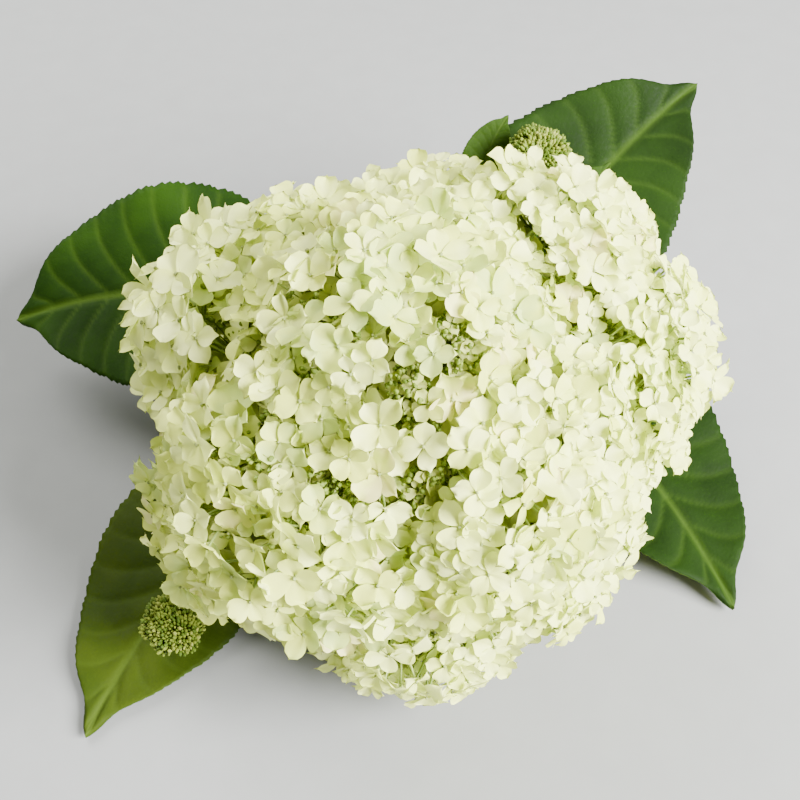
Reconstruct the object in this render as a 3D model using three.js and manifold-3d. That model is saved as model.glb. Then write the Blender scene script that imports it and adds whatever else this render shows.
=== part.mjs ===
// A cut flowering stem of a smooth hydrangea, lying down with its bloom turned up.
// The great round bloom is made of ten lobes. Each lobe is a ray that starts at the hub
// on the stem's tip, forks into branches and ends in florets of four sepals. Below the
// bloom the stem carries two pairs of leaves, and from the axils of the upper pair come
// two side shoots, each with a small green head that hasn't opened yet.
// Millimetres and degrees, +Z up. The stem lies on z = 0 and the bloom faces -Y and up.
import * as THREE from "three";
import { mergeVertices } from "three/addons/utils/BufferGeometryUtils.js";
import Module from "manifold-3d";

const wasm = await Module();
wasm.setup();

// Driving dimensions
const middle = [15.4, -9.6, 0]; // moves the whole, so that its box stands over the origin
const seat = 0.3; // clearance where one piece meets the piece that carries it
const hub = { place: [-1, -8, 80], radius: 6.4 }; // every ray of the bloom starts here
const bloom = {
  tilt: 45, // of the bloom's axis above the floor
  radius: 104, // of the dome that the florets lie on
  rise: 28, // of the dome's centre above the hub, along the axis
  rim: 114, // how far round from the axis the florets go
  overlap: 6, // that a floret may lean over the plane between two lobes
  crease: 0.165, // share of its reach that the dome loses between two lobes
  lobeWidth: 30, // from a lobe's middle to the crease
  blend: 12, // how sharply one lobe's swell gives way to the next one's
  rayRadius: 2.2,
  fork: 0.52, // where a ray forks, as a share of its reach
  branchRadius: 1.1,
  coreDepth: 21, // of the little knots that the florets spring from
  coreRadius: 5.2,
  floretWidth: 27, // larger than life, so that fewer of them cover the dome
  floretSpread: 7, // in height, so that they lie over one another
  trials: 36, // at a place for each floret
};
const lobes = [
  { name: "crown_top", clock: 95, lean: 28, swell: 0.96, florets: 28 },
  { name: "crown_left", clock: 215, lean: 28, swell: 0.98, florets: 28 },
  { name: "crown_right", clock: 335, lean: 28, swell: 0.96, florets: 28 },
  { name: "right", clock: 12, lean: 80, swell: 1.15, florets: 29 },
  { name: "upper_right", clock: 49, lean: 80, swell: 1.13, florets: 29 },
  { name: "top", clock: 104, lean: 80, swell: 0.92, florets: 27 },
  { name: "upper_left", clock: 147, lean: 80, swell: 1.04, florets: 29 },
  { name: "lower_left", clock: 212, lean: 80, swell: 1.02, florets: 29 },
  { name: "bottom", clock: 276, lean: 80, swell: 1.04, florets: 28 },
  { name: "lower_right", clock: 318, lean: 80, swell: 1.03, florets: 27 },
];
const dents = [
  // where the dome's side is fuller or slacker, by a share of its reach
  { lean: 80, clock: 29, width: 12, share: 0.09 },
  { lean: 80, clock: 66, width: 9, share: -0.12 },
  { lean: 80, clock: 79, width: 9, share: 0.13 },
  { lean: 80, clock: 102, width: 12, share: -0.12 },
  { lean: 80, clock: 190, width: 10, share: -0.12 },
  { lean: 80, clock: 245, width: 11, share: -0.1 },
];
const coresPerLobe = 5;
const stem = {
  cutEnd: [-1, 142, 4.44], // middle of the flat cut, whose lower edge is on the floor
  cutSlope: 10,
  neckRadius: 3.1,
  cutRadius: 4.5,
  neckPull: 62, // how long the neck keeps to the bloom's axis
  cutPull: 62,
  nodeSwell: 1.9, // that the stem gains at a leaf node
  nodeLength: 5,
  steps: 24,
  upperNode: 8 / 24, // where the leaf pairs sit, as shares of the stem from the hub
  lowerNode: 18 / 24,
};
// A leaf's midrib runs from its node to tip, past via, and the petiole is its first part.
const leaves = [
  {
    name: "leaf_lower_left",
    node: "upperNode",
    clock: 214,
    tip: [-126, -114, 5],
    via: [-84, 16, -9],
    petiole: 0.3,
    width: 84,
    stations: 9,
    fold: 0.07,
    up: [0.04, 0.02, 1],
  },
  {
    name: "leaf_upper_right",
    node: "upperNode",
    clock: 42,
    tip: [136, 140, 132],
    via: [56, 84, 104],
    petiole: 0.3,
    width: 94,
    stations: 9,
    fold: 0.16,
    up: [-0.3, -0.75, 0.7],
  },
  {
    name: "leaf_left",
    node: "lowerNode",
    clock: 166,
    tip: [-188, 84, 34],
    via: [-84, 92, 78],
    petiole: 0.3,
    width: 108,
    stations: 9,
    fold: 0.14,
    up: [-0.1, -0.45, 1],
  },
  {
    name: "leaf_right",
    node: "lowerNode",
    clock: 346,
    tip: [146, -58, 6],
    via: [98, 62, 30],
    petiole: 0.3,
    width: 94,
    stations: 9,
    fold: 0.14,
    up: [0.15, -0.2, 1],
  },
];
const leafThickness = 2.2; // at the midrib; the blade thins to its edge
const petioleRadius = 1.9;
const shoots = [
  {
    name: "lower_left",
    clock: 200,
    via: [
      [-42, 12, 36],
      [-76, -34, 16],
    ],
    head: [-91, -75, 27],
    facing: [-0.15, 0.25, 0.95],
    leaves: [],
  },
  {
    name: "top",
    clock: 74,
    via: [
      [14, 56, 84],
      [44, 84, 104],
    ],
    head: [61, 94, 129],
    facing: [0.15, -0.1, 0.95],
    leaves: [
      { side: "left", tip: [49, 118, 131], width: 22, stations: 5, up: [0, -0.9, 0.4] },
      { side: "right", tip: [94, 101, 119], width: 27, stations: 5, up: [0.1, -0.7, 0.7] },
    ],
  },
];
const shoot = { baseRadius: 1.9, tipRadius: 1.5, axil: 0.06, leafPlace: 0.8 };
const greenHead = { radius: 16.5, height: 0.6, foot: 5, buds: 20, budRadius: 3.6 };

// Small helpers
const radians = THREE.MathUtils.degToRad;
const goldenAngle = radians(137.508);
const vector = (list) => new THREE.Vector3(...list);
const along = (origin, direction, distance) =>
  origin.clone().addScaledVector(direction, distance);
// A repeatable number from 0 to 1 for the nth draw of one kind.
const draw = (n, kind) => {
  const wave = Math.sin(n * 12.9898 + kind * 78.233) * 43758.5453;
  return wave - Math.floor(wave);
};

// Solids
function toSolid(geometry) {
  const bare = geometry.clone();
  bare.deleteAttribute("normal");
  bare.deleteAttribute("uv");
  const merged = mergeVertices(bare, 1e-4);
  const vertProperties = new Float32Array(merged.attributes.position.array);
  const triVerts = new Uint32Array(merged.index.array);
  const mesh = new wasm.Mesh({ numProp: 3, vertProperties, triVerts });
  return new wasm.Manifold(mesh);
}

function toGeometry(solid) {
  const mesh = solid.getMesh();
  const geometry = new THREE.BufferGeometry();
  const position = new THREE.BufferAttribute(mesh.vertProperties, 3);
  geometry.setAttribute("position", position);
  geometry.setIndex(new THREE.BufferAttribute(mesh.triVerts, 1));
  return geometry;
}

const fuse = (geometries) => wasm.Manifold.union(geometries.map(toSolid));

// A round limb that follows a curve for the first of its parts, with its radius given
// along the limb from 0 to 1.
function limb(curve, radiusAt, sides, steps, parts = steps) {
  const geometry = new THREE.CylinderGeometry(1, 1, 1, sides, steps);
  const { normals, binormals } = curve.computeFrenetFrames(parts);
  const position = geometry.attributes.position;
  for (let i = 0; i < position.count; i++) {
    const step = Math.round((position.getY(i) + 0.5) * steps);
    const radius = radiusAt(step / steps);
    const point = curve.getPointAt(step / parts);
    point.addScaledVector(normals[step], position.getX(i) * radius);
    point.addScaledVector(binormals[step], -position.getZ(i) * radius);
    position.setXYZ(i, point.x, point.y, point.z);
  }
  return geometry;
}

const taper = (from, to) => (t) => from + (to - from) * t;

function knot(centre, radius, detail, stretch = [1, 1, 1]) {
  const geometry = new THREE.IcosahedronGeometry(radius, detail);
  geometry.scale(...stretch);
  return geometry.translate(centre.x, centre.y, centre.z);
}

// The bloom's dome, in millimetres from the hub
const origin = new THREE.Vector3();
const floor = -hub.place[2];
const tilt = radians(bloom.tilt);
const axis = new THREE.Vector3(0, -Math.cos(tilt), Math.sin(tilt));
const side = new THREE.Vector3(1, 0, 0);
const top = new THREE.Vector3(0, Math.sin(tilt), Math.cos(tilt));

// The direction at an angle from the bloom's axis and a clock angle round it.
function direction(lean, clock) {
  return axis
    .clone()
    .multiplyScalar(Math.cos(lean))
    .addScaledVector(side, Math.sin(lean) * Math.cos(clock))
    .addScaledVector(top, Math.sin(lean) * Math.sin(clock));
}

for (const place of [...lobes, ...dents]) {
  place.middle = direction(radians(place.lean), radians(place.clock));
}

// How far the dome is from the hub in a direction, for a lobe that holds it.
function reach(toward, lobe) {
  const lean = toward.angleTo(axis);
  const across = bloom.rise * Math.sin(lean);
  const dome = bloom.rise * Math.cos(lean) + Math.sqrt(bloom.radius ** 2 - across ** 2);
  let swell = 0;
  let total = 0;
  for (const other of lobes) {
    const near = Math.exp(bloom.blend * (toward.dot(other.middle) - 1));
    swell += near * other.swell;
    total += near;
  }
  swell /= total;
  let change = 0;
  for (const dent of dents) {
    const far = toward.angleTo(dent.middle) / radians(dent.width);
    change += dent.share * Math.exp(-(far ** 2));
  }
  const off = Math.min(1.2, toward.angleTo(lobe.middle) / radians(bloom.lobeWidth));
  return dome * swell * (1 + change) * (1 - bloom.crease * off ** 2);
}

// The point below the dome in a direction, no lower than a height above the floor.
function domePoint(toward, lobe, depth, height) {
  const distance = reach(toward, lobe) - depth;
  const lowest = floor + height;
  const nearer = toward.z < 0 ? Math.min(distance, lowest / toward.z) : distance;
  return toward.clone().multiplyScalar(nearer);
}

// Distance of a point to the plane between two lobes.
function clearance(lobe, other, point) {
  return point.dot(lobe.middle.clone().sub(other.middle).normalize());
}

function inSpace(lobe, point, margin) {
  return lobes.every((other) => other === lobe || clearance(lobe, other, point) >= margin);
}

// How many degrees a lobe's own space goes from its middle, at an angle round it, with the
// direction of each degree.
function spaceAround(lobe, angle) {
  const one = new THREE.Vector3().crossVectors(lobe.middle, side).normalize();
  const two = new THREE.Vector3().crossVectors(lobe.middle, one);
  const tangent = one.multiplyScalar(Math.cos(angle)).addScaledVector(two, Math.sin(angle));
  const at = (degrees) =>
    lobe.middle
      .clone()
      .multiplyScalar(Math.cos(radians(degrees)))
      .addScaledVector(tangent, Math.sin(radians(degrees)));
  const rim = radians(bloom.rim);
  let degrees = 0;
  while (inSpace(lobe, at(degrees + 1), 0) && at(degrees + 1).angleTo(axis) < rim) {
    degrees += 1;
  }
  return { degrees, at };
}

// One floret: four sepals round a stalk that runs down to root.
function floret({ centre, facing, spin, width, cup, thickness }, root) {
  const one = new THREE.Vector3().crossVectors(facing, side).normalize();
  const two = new THREE.Vector3().crossVectors(facing, one);
  const spot = (angle, radius, height) =>
    along(centre, facing, height)
      .addScaledVector(one, Math.cos(angle) * radius)
      .addScaledVector(two, Math.sin(angle) * radius);
  const points = [along(centre, facing, thickness - 2.1)];
  const faces = [];
  for (let i = 0; i < 4; i++) {
    const turn = spin + (i * Math.PI) / 2;
    const lift = cup * (i % 2 ? 1 : 0.4) * width;
    points.push(spot(turn - Math.PI / 4, width * 0.13, -thickness));
    points.push(spot(turn - radians(25), width * 0.5, lift));
    points.push(spot(turn + radians(25), width * 0.5, lift));
    const notch = 3 * i + 1;
    const next = 3 * ((i + 1) % 4) + 1;
    faces.push(0, notch, notch + 1, 0, notch + 1, notch + 2, 0, notch + 2, next);
    faces.push(notch, next, notch + 2, notch, notch + 2, notch + 1, next, notch, 13);
  }
  points.push(root);
  return new THREE.BufferGeometry().setFromPoints(points).setIndex(faces);
}

function corners(geometry) {
  const { position } = geometry.attributes;
  return Array.from({ length: position.count }, (_, i) =>
    new THREE.Vector3().fromBufferAttribute(position, i),
  );
}

// The knots of one lobe, from which its florets spring.
function coresOf(lobe) {
  return Array.from({ length: coresPerLobe }, (_, i) => {
    const angle = radians(lobe.clock) + (i * 2 * Math.PI) / (coresPerLobe - 1);
    const { degrees, at } = spaceAround(lobe, angle);
    const toward = at(i < coresPerLobe - 1 ? degrees * 0.56 : 0);
    return domePoint(toward, lobe, bloom.coreDepth, bloom.coreDepth * 0.7);
  });
}

// Every floret that has been set on the bloom, of any lobe
const placed = [];

// The nth floret of a lobe: raised, turned or shrunk until its sepals are clear of all the
// sepals that are there and its stalk is clear of the other lobes.
function placeFloret(lobe, n, cores) {
  const seed = 100 * lobes.indexOf(lobe) + n;
  const { degrees, at } = spaceAround(lobe, n * goldenAngle);
  const toward = at(degrees * 0.97 * Math.sqrt((n + 0.5) / lobe.florets));
  const base = domePoint(toward, lobe, 0, 2);
  const nearest = cores.reduce((a, b) => (a.distanceTo(base) < b.distanceTo(base) ? a : b));
  const wander = new THREE.Vector3(draw(seed, 2) - 0.5, draw(seed, 3) - 0.5, draw(seed, 4) - 0.5);
  const facing = base.clone().sub(nearest).normalize().multiplyScalar(0.6);
  facing.add(toward).addScaledVector(wander, 0.4).normalize();
  for (let trial = 0; trial < bloom.trials; trial++) {
    const depth = bloom.floretSpread * ((trial * 0.4 + draw(seed, 1)) % 1) - 1;
    const form = {
      centre: domePoint(toward, lobe, depth, 2),
      facing,
      spin: (draw(seed, 5) + trial * 0.382) * (Math.PI / 2),
      width: bloom.floretWidth * (0.94 + 0.12 * draw(seed, 6)) * (1 - (0.45 * trial) / bloom.trials),
      cup: 0.1 * draw(seed, 7) - 0.03,
      thickness: 1.7,
    };
    const height = Math.min(...corners(floret(form, form.centre)).map((p) => p.z)) - floor;
    form.centre.z -= Math.min(0, height);
    const inward = form.centre.clone().sub(nearest).normalize();
    const root = along(nearest, inward, bloom.coreRadius * 0.45);
    if (isClear(form, root, lobe)) {
      return floret(form, root);
    }
  }
  return null;
}

// Whether a floret can be set: if so, it is noted as placed.
function isClear(form, root, lobe) {
  const { centre, facing, thickness } = form;
  const sepals = toSolid(floret(form, along(centre, facing, -thickness - 1.2)));
  const wide = { ...form, width: form.width + 1.4, thickness: thickness + 0.7 };
  const roomy = toSolid(floret(wide, root));
  const near = placed.filter((other) => other.centre.distanceTo(centre) < bloom.floretWidth * 1.4);
  const clear = near.every((other) =>
    other.lobe === lobe
      ? other.sepals.intersect(sepals).isEmpty()
      : other.whole.intersect(roomy).isEmpty(),
  );
  const whole = toSolid(floret(form, root));
  const inside = corners(floret(form, root)).every((p) => inSpace(lobe, p, -bloom.overlap));
  if (clear && inside) {
    placed.push({ centre, lobe, sepals, whole });
  }
  return clear && inside;
}

function bloomLobe(lobe) {
  const start = along(origin, lobe.middle, hub.radius + seat);
  const forkAt = along(origin, lobe.middle, reach(lobe.middle, lobe) * bloom.fork);
  const ray = new THREE.LineCurve3(start, forkAt);
  const pieces = [
    limb(ray, taper(bloom.rayRadius, bloom.rayRadius * 0.8), 6, 2),
    knot(forkAt, bloom.rayRadius * 1.3, 0),
  ];
  const cores = coresOf(lobe);
  for (const core of cores) {
    const branch = new THREE.LineCurve3(forkAt, core);
    pieces.push(limb(branch, taper(bloom.branchRadius, bloom.branchRadius * 0.8), 3, 1));
    pieces.push(knot(core, bloom.coreRadius, 0));
  }
  for (let n = 0; n < lobe.florets; n++) {
    const shape = placeFloret(lobe, n, cores);
    if (shape) {
      pieces.push(shape);
    }
  }
  return fuse(pieces);
}

// The stem lies in the plane of the bloom's axis and curves down to its flat cut.
const cutEnd = vector(stem.cutEnd);
const cutRun = new THREE.Vector3(
  0,
  Math.cos(radians(stem.cutSlope)),
  -Math.sin(radians(stem.cutSlope)),
);
const hubPoint = vector(hub.place);
const stemCurve = new THREE.CubicBezierCurve3(
  hubPoint,
  along(hubPoint, axis, -stem.neckPull),
  along(cutEnd, cutRun, -stem.cutPull),
  cutEnd,
);
const stemLength = stemCurve.getLength();

function stemRadius(t) {
  const bulge = (node) =>
    stem.nodeSwell * Math.exp(-((((t - node) * stemLength) / stem.nodeLength) ** 2));
  const plain = taper(stem.neckRadius, stem.cutRadius)(t);
  return plain + bulge(stem.upperNode) + bulge(stem.lowerNode);
}

const mainStem = () =>
  fuse([limb(stemCurve, stemRadius, 10, stem.steps), knot(hubPoint, hub.radius, 1)]);

// Where a stalk starts, clear of the stem's skin at a clock angle, and where it heads. It
// leans from square towards the hub.
function stemSocket(t, clock, lean, radius) {
  const centre = stemCurve.getPointAt(t);
  const run = stemCurve.getTangentAt(t);
  const up = new THREE.Vector3().crossVectors(side, run).negate();
  const square = side.clone().multiplyScalar(Math.cos(radians(clock)));
  square.addScaledVector(up, Math.sin(radians(clock)));
  const gap = seat + radius * Math.sin(radians(lean));
  const off = square.clone().multiplyScalar(Math.cos(radians(lean)));
  off.addScaledVector(run, -Math.sin(radians(lean)));
  return { start: along(centre, square, stemRadius(t) + gap), off };
}

// A leaf: its petiole, then a blade that is widest near its base and toothed at its edge.
function leafSolid(spine, leaf, petioleShare, radius) {
  const stations = leaf.stations;
  const length = spine.getLength();
  const ridge = [];
  const edges = { left: [], right: [] };
  const under = [];
  const ribThickness = leafThickness * Math.min(1, length / 150);
  for (let k = 0; k <= 2 * stations; k++) {
    const t = k / (2 * stations);
    const place = petioleShare + (1 - petioleShare) * t;
    const point = spine.getPointAt(place);
    const run = spine.getTangentAt(place);
    const across = new THREE.Vector3().crossVectors(run, vector(leaf.up)).normalize();
    const normal = new THREE.Vector3().crossVectors(across, run);
    const ovate = 2.362 * t ** 0.45 * (1 - t) ** 0.9;
    const tooth = k % 2 ? 1.05 : 0.93;
    const half = (leaf.width / 2) * ovate * tooth;
    const lift = half * (leaf.fold ?? 0.12);
    if (k % 2 === 0) {
      ridge.push(point.clone());
      under.push(along(point, normal, -ribThickness));
    }
    if (k > 0 && k < 2 * stations) {
      edges.left.push(along(point, across, -half).addScaledVector(normal, lift));
      edges.right.push(along(point, across, half).addScaledVector(normal, lift));
    }
  }
  return fuse([
    limb(spine, taper(radius, radius * 0.8), 6, 7, 20),
    blade(ridge, under, edges, stations),
  ]);
}

// The blade's closed skin: both sides of the midrib, above and below, down to a shared edge.
function blade(ridge, under, edges, stations) {
  const points = [];
  const index = new Map();
  const id = (key, point) => {
    if (!index.has(key)) {
      index.set(key, points.length);
      points.push(point);
    }
    return index.get(key);
  };
  const tops = ridge.map((p, i) => id("top" + i, p));
  const unders = under.map((p, i) => {
    const shared = i === 0 || i === stations;
    return shared ? tops[i] : id("under" + i, p);
  });
  const faces = [];
  for (const [name, turn] of [
    ["left", false],
    ["right", true],
  ]) {
    const rim = [tops[0], ...edges[name].map((p, i) => id(name + i, p)), tops[stations]];
    for (const [spine, flip] of [
      [tops, turn],
      [unders, !turn],
    ]) {
      const add = (a, b, c) => {
        if (a !== b && b !== c && a !== c) {
          faces.push(...(flip ? [a, b, c] : [a, c, b]));
        }
      };
      for (let i = 0; i < stations; i++) {
        add(spine[i], rim[2 * i], rim[2 * i + 1]);
        add(spine[i], rim[2 * i + 1], spine[i + 1]);
        add(spine[i + 1], rim[2 * i + 1], rim[2 * i + 2]);
      }
    }
  }
  return new THREE.BufferGeometry().setFromPoints(points).setIndex(faces);
}

function stemLeaf(leaf) {
  const { start, off } = stemSocket(stem[leaf.node], leaf.clock, 15, petioleRadius);
  const spine = new THREE.CubicBezierCurve3(
    start,
    along(start, off, 26),
    vector(leaf.via),
    vector(leaf.tip),
  );
  return leafSolid(spine, leaf, leaf.petiole, petioleRadius);
}

// Side shoots: a thin stem, a small green head and, on one of them, a pair of small leaves
function shootCurve(row) {
  const place = stem.upperNode - shoot.axil;
  const { start, off } = stemSocket(place, row.clock, 40, shoot.baseRadius);
  const facing = vector(row.facing).normalize();
  const end = along(vector(row.head), facing, -greenHead.foot - seat);
  return new THREE.CatmullRomCurve3([
    start,
    along(start, off, 9),
    ...row.via.map(vector),
    along(end, facing, -9),
    end,
  ]);
}

const shootStem = (row) =>
  fuse([limb(shootCurve(row), taper(shoot.baseRadius, shoot.tipRadius), 5, 12)]);

// A green head in its own frame, where its flat foot faces down
function greenHeadSolid() {
  const { radius, height, foot, buds, budRadius } = greenHead;
  const pieces = [new THREE.IcosahedronGeometry(radius * 1.04, 0).scale(1, 1, height * 0.9)];
  for (let n = 0; n < buds; n++) {
    const lean = Math.acos(1 - (1.15 * (n + 0.5)) / buds);
    const angle = n * goldenAngle;
    const bud = new THREE.OctahedronGeometry(budRadius * (0.85 + 0.3 * draw(n, 9)));
    bud.rotateZ(draw(n, 8) * Math.PI);
    bud.translate(
      Math.sin(lean) * Math.cos(angle) * radius * 0.9,
      Math.sin(lean) * Math.sin(angle) * radius * 0.9,
      Math.cos(lean) * radius * height * 0.9,
    );
    pieces.push(bud);
  }
  const below = new THREE.BoxGeometry(4 * radius, 4 * radius, 2 * radius);
  below.translate(0, 0, -foot - radius);
  return fuse(pieces).subtract(toSolid(below));
}

function shootLeaf(row, small) {
  const curve = shootCurve(row);
  const centre = curve.getPointAt(shoot.leafPlace);
  const run = curve.getTangentAt(shoot.leafPlace);
  const tip = vector(small.tip);
  const off = tip.clone().sub(centre);
  off.addScaledVector(run, -off.dot(run)).normalize();
  const start = along(centre, off, shoot.baseRadius + seat);
  const bend = along(start, off, start.distanceTo(tip) * 0.5);
  const spine = new THREE.QuadraticBezierCurve3(start, bend, tip);
  return leafSolid(spine, small, 0.2, 1);
}

// The part, piece by piece
const finishes = {
  stem: new THREE.MeshStandardMaterial({ color: 0x6f8a3c, roughness: 0.6 }),
  leaf: new THREE.MeshStandardMaterial({ color: 0x3f6420, roughness: 0.55 }),
  sepal: new THREE.MeshStandardMaterial({ color: 0xeef0dc, roughness: 0.6 }),
  bud: new THREE.MeshStandardMaterial({ color: 0x8fa050, roughness: 0.7 }),
};
function piece(name, solid, finish) {
  const mesh = new THREE.Mesh(toGeometry(solid), finish);
  mesh.name = name;
  return mesh;
}

const branch = new THREE.Group();
branch.position.set(...middle);
branch.add(piece("main_stem", mainStem(), finishes.stem));

const bloomGroup = new THREE.Group();
bloomGroup.position.copy(hubPoint);
for (const lobe of lobes) {
  bloomGroup.add(piece("bloom_" + lobe.name, bloomLobe(lobe), finishes.sepal));
}
branch.add(bloomGroup);

for (const leaf of leaves) {
  branch.add(piece(leaf.name, stemLeaf(leaf), finishes.leaf));
}

for (const row of shoots) {
  const head = piece("green_head_" + row.name, greenHeadSolid(), finishes.bud);
  head.position.set(...row.head);
  head.quaternion.setFromUnitVectors(new THREE.Vector3(0, 0, 1), vector(row.facing).normalize());
  branch.add(piece("side_shoot_" + row.name, shootStem(row), finishes.stem), head);
  for (const small of row.leaves) {
    const name = "shoot_leaf_" + row.name + "_" + small.side;
    branch.add(piece(name, shootLeaf(row, small), finishes.leaf));
  }
}

export default branch;
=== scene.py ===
import math

import bpy
import numpy as np
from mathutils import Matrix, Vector


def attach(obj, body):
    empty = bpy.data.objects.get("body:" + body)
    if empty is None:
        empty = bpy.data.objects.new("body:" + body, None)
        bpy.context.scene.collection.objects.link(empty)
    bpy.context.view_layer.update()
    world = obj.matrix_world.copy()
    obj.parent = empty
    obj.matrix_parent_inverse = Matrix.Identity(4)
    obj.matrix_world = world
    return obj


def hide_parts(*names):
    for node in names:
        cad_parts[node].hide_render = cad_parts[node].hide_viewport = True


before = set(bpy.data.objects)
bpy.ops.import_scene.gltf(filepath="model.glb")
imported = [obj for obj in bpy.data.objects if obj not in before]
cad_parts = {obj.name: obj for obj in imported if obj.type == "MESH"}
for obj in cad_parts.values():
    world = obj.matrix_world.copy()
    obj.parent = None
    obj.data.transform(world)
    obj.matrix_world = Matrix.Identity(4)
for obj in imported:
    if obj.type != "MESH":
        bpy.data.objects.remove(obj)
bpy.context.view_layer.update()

# A cut flowering stem of smooth hydrangea, lying down with its great bloom turned up.
# Shapes are worked out in millimetres, as the solids are, and middle moves the whole.
middle = np.array([15.4, -9.6, 0.0])
rng = np.random.default_rng(11)
goldenAngle = math.radians(137.508)


# Small helpers
def vec(*values):
    return np.array(values, float)


def unit(v):
    return v / np.maximum(np.linalg.norm(v, axis=-1, keepdims=True), 1e-9)


def squareTo(n):  # two directions square to each n and to each other
    other = np.where(np.abs(n[..., :1]) < 0.8, vec(1, 0, 0), vec(0, 1, 0))
    one = unit(np.cross(n, other))
    return one, np.cross(n, one)


def meshPiece(name, points, faces, materials, slotName, nodes=(), faceSlots=None):
    mesh = bpy.data.meshes.new(name)
    mesh.from_pydata(((np.asarray(points) + middle) / 1000).tolist(), [], faces)
    piece = bpy.data.objects.new(name, mesh)
    bpy.context.collection.objects.link(piece)
    for material in materials:
        mesh.materials.append(material)
    if faceSlots is not None:
        mesh.polygons.foreach_set("material_index", np.asarray(faceSlots, np.int32))
    mesh.polygons.foreach_set("use_smooth", np.full(len(mesh.polygons), True))
    mesh.update()
    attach(piece, "root")
    if nodes:
        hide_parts(*nodes)
    return piece


def gridFaces(rows, columns, closed=False):  # quads over a grid of points
    across = columns if closed else columns - 1
    i, j = np.meshgrid(np.arange(rows - 1), np.arange(across), indexing="ij")
    k = (j + 1) % columns
    corners = [i * columns + j, i * columns + k, (i + 1) * columns + k, (i + 1) * columns + j]
    return np.stack(corners, -1).reshape(-1, 4)


def copies(template, count, stride):  # one shape's faces for each of its copies
    shift = (np.arange(count) * stride)[:, None, None]
    return (template[None] + shift).reshape(-1, template.shape[1])


def tubes(start, bend, end, startRadius, endRadius, sides, steps):
    start, bend, end = (np.atleast_2d(p) for p in (start, bend, end))
    count = len(start)
    t = np.linspace(0, 1, steps + 1)[None, :, None]
    centre = (1 - t) ** 2 * start[:, None] + 2 * t * (1 - t) * bend[:, None] + t**2 * end[:, None]
    run = unit((1 - t) * (bend - start)[:, None] + t * (end - bend)[:, None])
    reference, _ = squareTo(unit(end - start))
    one = unit(np.cross(run, reference[:, None] + 0 * run))
    two = np.cross(run, one)
    angle = (np.arange(sides) * 2 * math.pi / sides)[:, None]
    radius = np.broadcast_to(startRadius, count)[:, None, None] * (1 - t)
    radius = radius + np.broadcast_to(endRadius, count)[:, None, None] * t
    ring = np.cos(angle) * one[:, :, None] + np.sin(angle) * two[:, :, None]
    points = centre[:, :, None] + radius[..., None] * ring
    faces = copies(gridFaces(steps + 1, sides, closed=True), count, (steps + 1) * sides)
    return points.reshape(-1, 3), faces


def joined(parts):  # several (points, faces) as one
    points, faces, total = [], [], 0
    for somePoints, someFaces in parts:
        points.append(somePoints)
        faces += (np.asarray(someFaces) + total).tolist()
        total += len(somePoints)
    return np.concatenate(points), faces


# Shader sums: a Wire is a socket that can be used in a Python expression
class Wire:
    def __init__(self, shader, socket):
        self.shader, self.socket = shader, socket

    def sum(self, operation, other):
        return self.shader.node("ShaderNodeMath", {"operation": operation}, {0: self, 1: other})

    def __add__(self, other):
        return self.sum("ADD", other)

    def __mul__(self, other):
        return self.sum("MULTIPLY", other)


class Shader:
    def __init__(self, name):
        self.material = bpy.data.materials.new(name)
        self.material.use_nodes = True
        self.tree = self.material.node_tree
        self.tree.nodes.clear()

    def node(self, kind, settings=None, values=None, out=0):
        node = self.tree.nodes.new(kind)
        for key, value in (settings or {}).items():
            if key == "stops":
                ramp = node.color_ramp.elements
                ramp[0].position, ramp[0].color = value[0]
                ramp[1].position, ramp[1].color = value[-1]
                for position, colour in value[1:-1]:
                    ramp.new(position).color = colour
            else:
                setattr(node, key, value)
        for key, value in (values or {}).items():
            if isinstance(value, Wire):
                self.tree.links.new(value.socket, node.inputs[key])
            else:
                node.inputs[key].default_value = value
        return Wire(self, node.outputs[out]) if len(node.outputs) else None

    def noise(self, scale, detail=3):
        place = self.node("ShaderNodeTexCoord", out=3)
        values = {"Vector": place, "Scale": scale, "Detail": detail, "Roughness": 0.55}
        return self.node("ShaderNodeTexNoise", values=values)

    def mix(self, factor, one, two):
        values = {0: factor, 6: one, 7: two}
        return self.node("ShaderNodeMix", {"data_type": "RGBA"}, values, out=2)

    def spread(self, value, low, high):  # 0 to 1 as the value goes from low to high
        values = {"Value": value, "From Min": low, "From Max": high}
        return self.node("ShaderNodeMapRange", {"interpolation_type": "SMOOTHSTEP"}, values)

    def bump(self, height, distance, strength):
        values = {"Height": height, "Distance": distance, "Strength": strength}
        return self.node("ShaderNodeBump", values=values)

    def finish(self, surface, through=None, share=0.0):
        result = self.node("ShaderNodeBsdfPrincipled", values=surface)
        if through is not None:  # a share of the light comes through, as in a petal
            values = {"Color": through}
            if "Normal" in surface:
                values["Normal"] = surface["Normal"]
            behind = self.node("ShaderNodeBsdfTranslucent", values=values)
            result = self.node("ShaderNodeMixShader", values={0: share, 1: result, 2: behind})
        self.node("ShaderNodeOutputMaterial", values={"Surface": result})
        return self.material


def colour(red, green, blue):
    return (red, green, blue, 1)


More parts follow.
